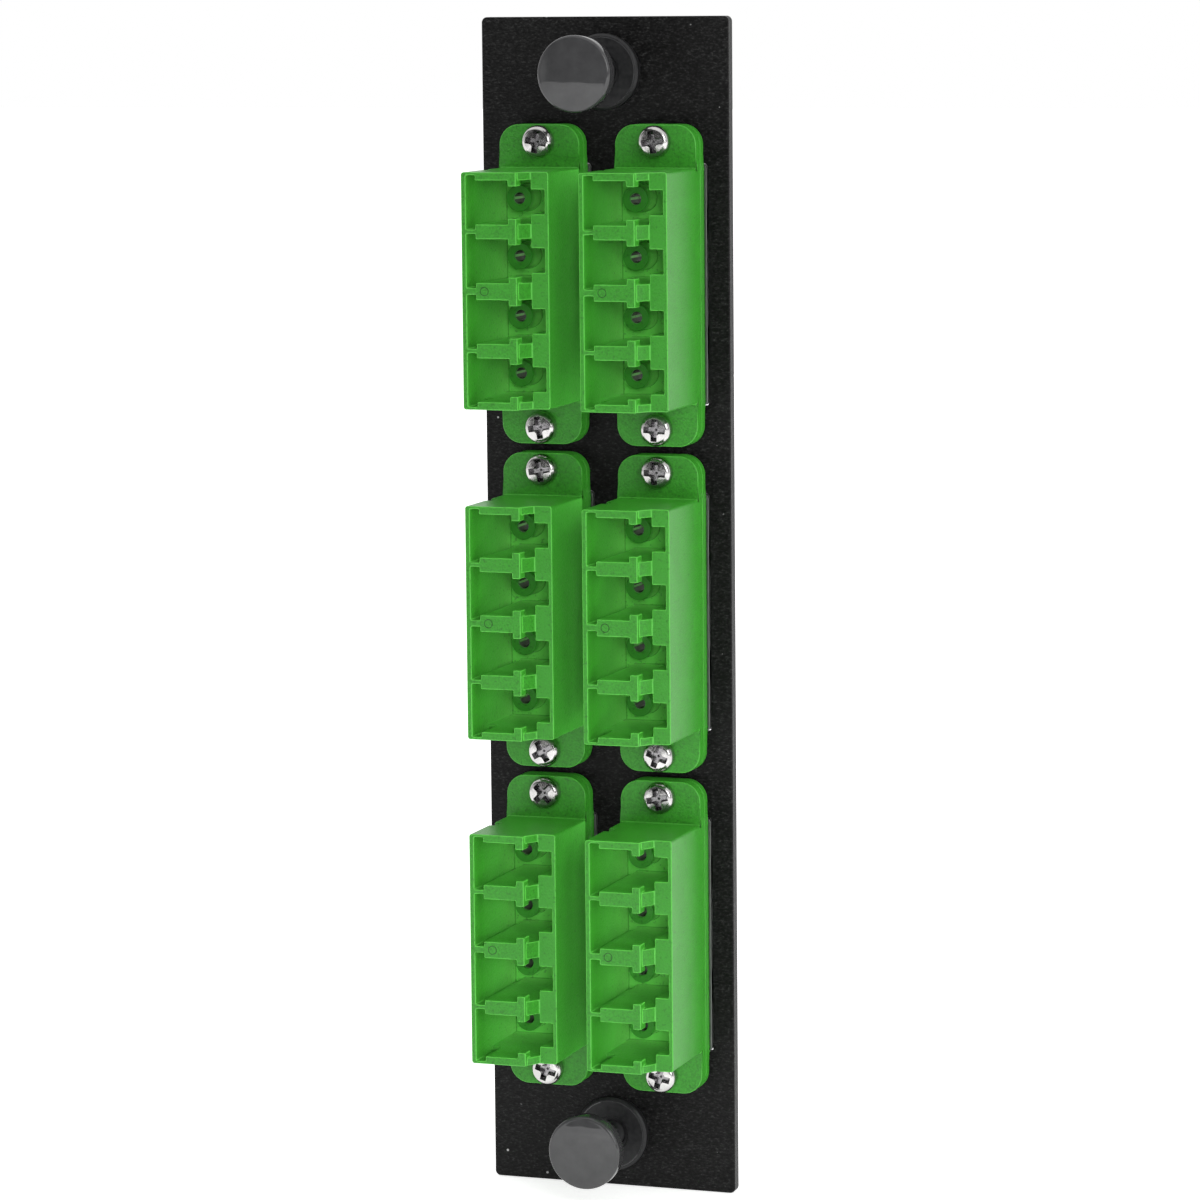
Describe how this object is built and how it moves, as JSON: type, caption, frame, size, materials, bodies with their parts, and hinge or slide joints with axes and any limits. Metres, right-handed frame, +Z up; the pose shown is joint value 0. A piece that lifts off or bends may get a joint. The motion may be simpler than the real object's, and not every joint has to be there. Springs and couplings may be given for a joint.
{
  "type": "fibre adapter panel",
  "caption": "Narrow flat plate with two columns of quad fibre adapters, pan-head screws and a push-pull fastener near each end.",
  "frame": {"origin": "centre of the plate's rear face, which seats on the rack", "axes": "front faces -Y, +Y out of the rear face, +X to the right seen from the front, +Z up along the plate's height"},
  "size_m": [0.0284, 0.027, 0.1296],
  "materials": {
    "black_coat": "fine wrinkle powder coat",
    "green_plastic": "moulded, fine spark texture",
    "black_plastic": "smooth moulded",
    "nickel": "bright nickel plate",
    "spring_steel": "rolled sheet",
    "ceramic": "polished zirconia"
  },
  "bodies": {
    "panel": {"panel_plate": "black_coat", "adapter_screws": "nickel", "adapter_nuts": "nickel", "front_housing_left_top": "green_plastic", "front_housing_left_middle": "green_plastic", "front_housing_left_bottom": "green_plastic", "front_housing_right_top": "green_plastic", "front_housing_right_middle": "green_plastic", "front_housing_right_bottom": "green_plastic", "rear_housing_left_top": "green_plastic", "rear_housing_left_middle": "green_plastic", "rear_housing_left_bottom": "green_plastic", "rear_housing_right_top": "green_plastic", "rear_housing_right_middle": "green_plastic", "rear_housing_right_bottom": "green_plastic", "clip_left_top": "spring_steel", "clip_left_middle": "spring_steel", "clip_left_bottom": "spring_steel", "clip_right_top": "spring_steel", "clip_right_middle": "spring_steel", "clip_right_bottom": "spring_steel", "sleeve_left_top_1": "ceramic", "sleeve_left_top_2": "ceramic", "sleeve_left_top_3": "ceramic", "sleeve_left_top_4": "ceramic", "sleeve_left_middle_1": "ceramic", "sleeve_left_middle_2": "ceramic", "sleeve_left_middle_3": "ceramic", "sleeve_left_middle_4": "ceramic", "sleeve_left_bottom_1": "ceramic", "sleeve_left_bottom_2": "ceramic", "sleeve_left_bottom_3": "ceramic", "sleeve_left_bottom_4": "ceramic", "sleeve_right_top_1": "ceramic", "sleeve_right_top_2": "ceramic", "sleeve_right_top_3": "ceramic", "sleeve_right_top_4": "ceramic", "sleeve_right_middle_1": "ceramic", "sleeve_right_middle_2": "ceramic", "sleeve_right_middle_3": "ceramic", "sleeve_right_middle_4": "ceramic", "sleeve_right_bottom_1": "ceramic", "sleeve_right_bottom_2": "ceramic", "sleeve_right_bottom_3": "ceramic", "sleeve_right_bottom_4": "ceramic", "grommet_top": "black_plastic", "grommet_bottom": "black_plastic"},
    "plunger_top": {"plunger_top": "black_plastic"},
    "plunger_bottom": {"plunger_bottom": "black_plastic"}
  },
  "joints": [
    {"name": "plunger_top_slide", "type": "slide", "parent": "panel", "child": "plunger_top", "axis": [0, 1, 0], "range_m": [0, 0.007]},
    {"name": "plunger_bottom_slide", "type": "slide", "parent": "panel", "child": "plunger_bottom", "axis": [0, 1, 0], "range_m": [0, 0.007]}
  ]
}
